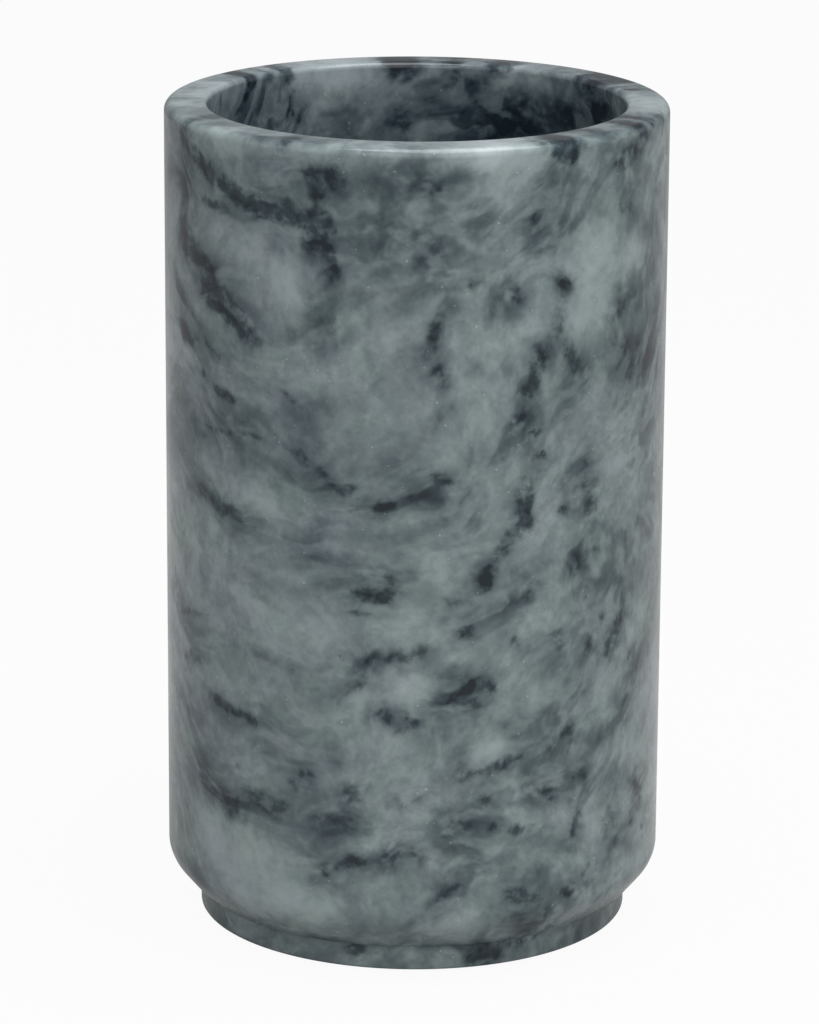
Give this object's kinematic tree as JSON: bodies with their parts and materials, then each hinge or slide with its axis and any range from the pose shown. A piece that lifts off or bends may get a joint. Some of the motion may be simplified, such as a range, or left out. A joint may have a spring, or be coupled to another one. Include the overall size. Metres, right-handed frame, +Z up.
{
  "type": "bathroom tumbler",
  "caption": "Straight round tumbler turned from veined grey marble, with a thick wall, eased rim, sloping shoulder and stepped foot on thin stick-on pads, for toothbrushes or rinsing.",
  "frame": {"origin": "centre of the surface that the tumbler stands on, under the middle of the foot", "axes": "+Z up along the turning axis, towards the mouth; -Y is the side that faces the viewer in the picture"},
  "size_m": [0.0762, 0.0762, 0.128],
  "materials": {
    "marble": "polished grey marble with charcoal veins",
    "pad_foam": "matt closed-cell foam"
  },
  "bodies": {
    "root": {"marble_body": "marble", "foot_pad_1": "pad_foam", "foot_pad_2": "pad_foam", "foot_pad_3": "pad_foam", "foot_pad_4": "pad_foam"}
  },
  "joints": []
}
